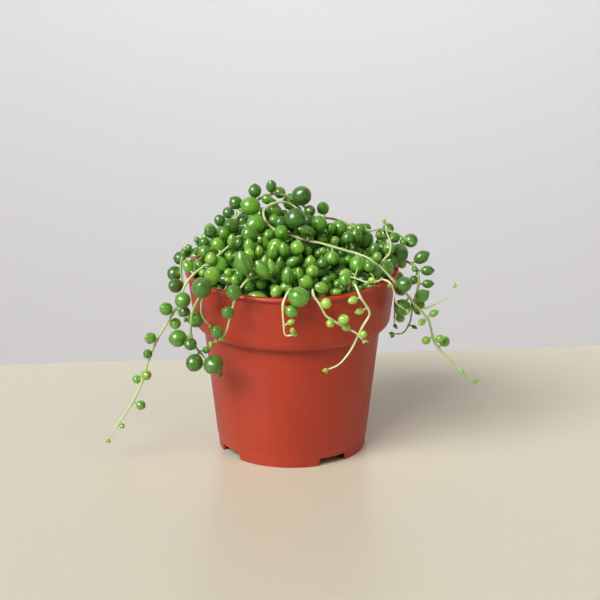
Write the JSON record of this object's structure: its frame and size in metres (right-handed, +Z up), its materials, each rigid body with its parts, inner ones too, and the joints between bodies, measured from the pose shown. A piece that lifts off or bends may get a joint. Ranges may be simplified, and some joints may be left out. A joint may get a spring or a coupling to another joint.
{
  "type": "potted string of pearls",
  "caption": "Trailing succulent with bead-shaped leaves on thin stems, heaped in a round moulded nursery pot of potting mix and hanging over its rim.",
  "frame": {"origin": "middle of the pot's foot, on the surface that it stands on", "axes": "+Z up, -Y towards the front shown in the picture, +X to its right"},
  "size_m": [0.1816, 0.1252, 0.1342],
  "materials": {
    "pot": "satin",
    "soil": "matte",
    "foliage": "satin"
  },
  "bodies": {
    "root": {"pot": "pot", "soil": "soil", "left_trail": "foliage", "left_cluster": "foliage", "front_left_loop": "foliage", "front_short": "foliage", "front_mid": "foliage", "front_right_bare": "foliage", "long_diagonal": "foliage", "upright_tip": "foliage", "right_runner": "foliage", "crest": "foliage", "right_drape": "foliage", "back_right_arc": "foliage", "left_arc": "foliage", "left_shoulder": "foliage", "back_trail_1": "foliage", "back_trail_2": "foliage", "back_trail_3": "foliage", "back_trail_4": "foliage", "back_trail_5": "foliage", "back_trail_6": "foliage", "heap_coil_1": "foliage", "heap_coil_2": "foliage", "heap_coil_3": "foliage", "mat_coil_1": "foliage", "mat_coil_2": "foliage", "mat_coil_3a": "foliage", "mat_coil_3b": "foliage", "mat_coil_4a": "foliage", "mat_coil_4b": "foliage", "mat_coil_5a": "foliage", "mat_coil_5b": "foliage", "mat_coil_5c": "foliage"}
  },
  "joints": []
}
